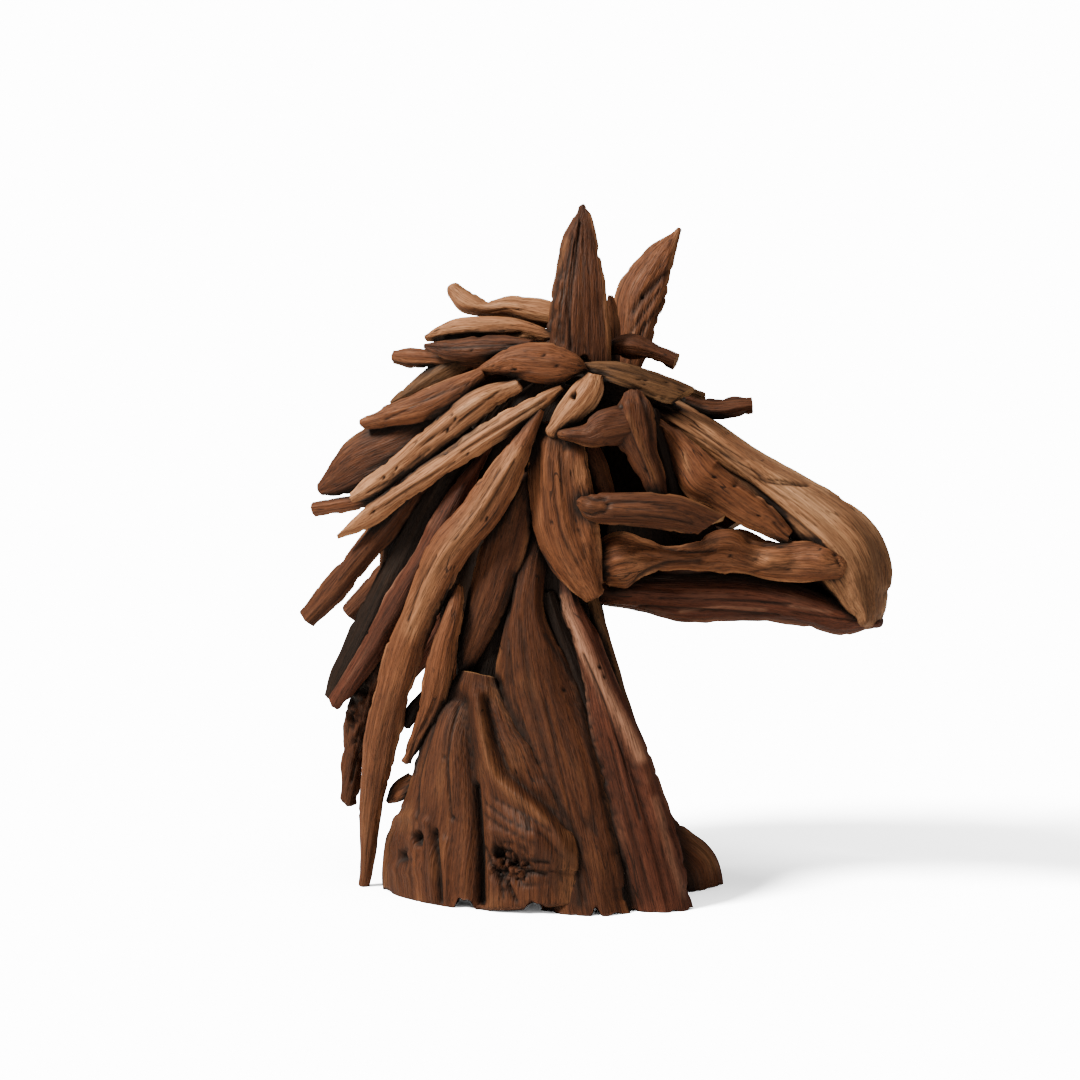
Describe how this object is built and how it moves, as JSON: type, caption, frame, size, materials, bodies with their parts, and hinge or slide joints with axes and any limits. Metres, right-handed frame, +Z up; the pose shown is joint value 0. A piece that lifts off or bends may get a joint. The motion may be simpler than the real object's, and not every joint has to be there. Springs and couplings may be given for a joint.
{
  "type": "driftwood horse head sculpture",
  "caption": "Horse head and neck built up from pieces of weathered driftwood, on its own flared base, built together with its stand.",
  "frame": {"origin": "middle of the underside of the sculpture's bounding box, on the ground", "axes": "+X the way the horse looks, +Z up, +Y out of the horse's left side"},
  "size_m": [0.5752, 0.2972, 0.6602],
  "materials": {
    "pale_driftwood": "weathered, semi-matte",
    "tan_driftwood": "weathered, semi-matte",
    "brown_driftwood": "weathered, semi-matte",
    "red_driftwood": "weathered, semi-matte",
    "grey_driftwood": "weathered, semi-matte",
    "dark_driftwood": "weathered, semi-matte"
  },
  "bodies": {
    "root": {"back_slab": "brown_driftwood", "brow_back": "grey_driftwood", "brow_fork": "tan_driftwood", "brow_slab_far": "brown_driftwood", "cheek_plate": "tan_driftwood", "cheek_plate_far": "tan_driftwood", "cheek_top": "pale_driftwood", "cheekbone": "brown_driftwood", "cheekbone_far": "brown_driftwood", "chest_flare": "brown_driftwood", "crest_curl": "pale_driftwood", "crest_slab": "pale_driftwood", "crest_splinter": "brown_driftwood", "crest_strands": "brown_driftwood", "crest_stub": "tan_driftwood", "ear_far": "tan_driftwood", "ear_near": "brown_driftwood", "ear_wedge": "tan_driftwood", "eye_post": "dark_driftwood", "forelock_slab": "grey_driftwood", "forelock_slab_far": "grey_driftwood", "forelock_stub": "grey_driftwood", "lower_jaw": "red_driftwood", "mane_far_lower": "tan_driftwood", "mane_far_stick": "brown_driftwood", "mane_far_upper": "brown_driftwood", "mane_gnarled": "brown_driftwood", "mane_nape": "grey_driftwood", "mane_slab_dark": "dark_driftwood", "mane_stick": "brown_driftwood", "mane_strand_1": "brown_driftwood", "mane_strand_13": "brown_driftwood", "mane_strand_2": "red_driftwood", "mane_strand_3": "pale_driftwood", "mane_strand_4": "pale_driftwood", "mane_strand_7": "red_driftwood", "mane_strand_long": "tan_driftwood", "mane_strand_shoulder": "tan_driftwood", "mane_stub": "tan_driftwood", "muzzle_side": "tan_driftwood", "muzzle_side_far": "tan_driftwood", "neck_edge": "grey_driftwood", "neck_front": "red_driftwood", "neck_front_far": "brown_driftwood", "neck_side": "dark_driftwood", "neck_side_far": "dark_driftwood", "neck_slab_far": "brown_driftwood", "neck_slab_main": "brown_driftwood", "neck_strip": "dark_driftwood", "neck_stub": "dark_driftwood", "nose_bridge": "tan_driftwood", "poll_block": "dark_driftwood", "poll_knob": "brown_driftwood", "poll_lozenge": "tan_driftwood", "poll_lozenge_far": "brown_driftwood", "shoulder_root": "brown_driftwood", "shoulder_root_far": "brown_driftwood", "throat_slab": "dark_driftwood", "upper_jaw": "tan_driftwood", "upper_jaw_far": "tan_driftwood"}
  },
  "joints": []
}
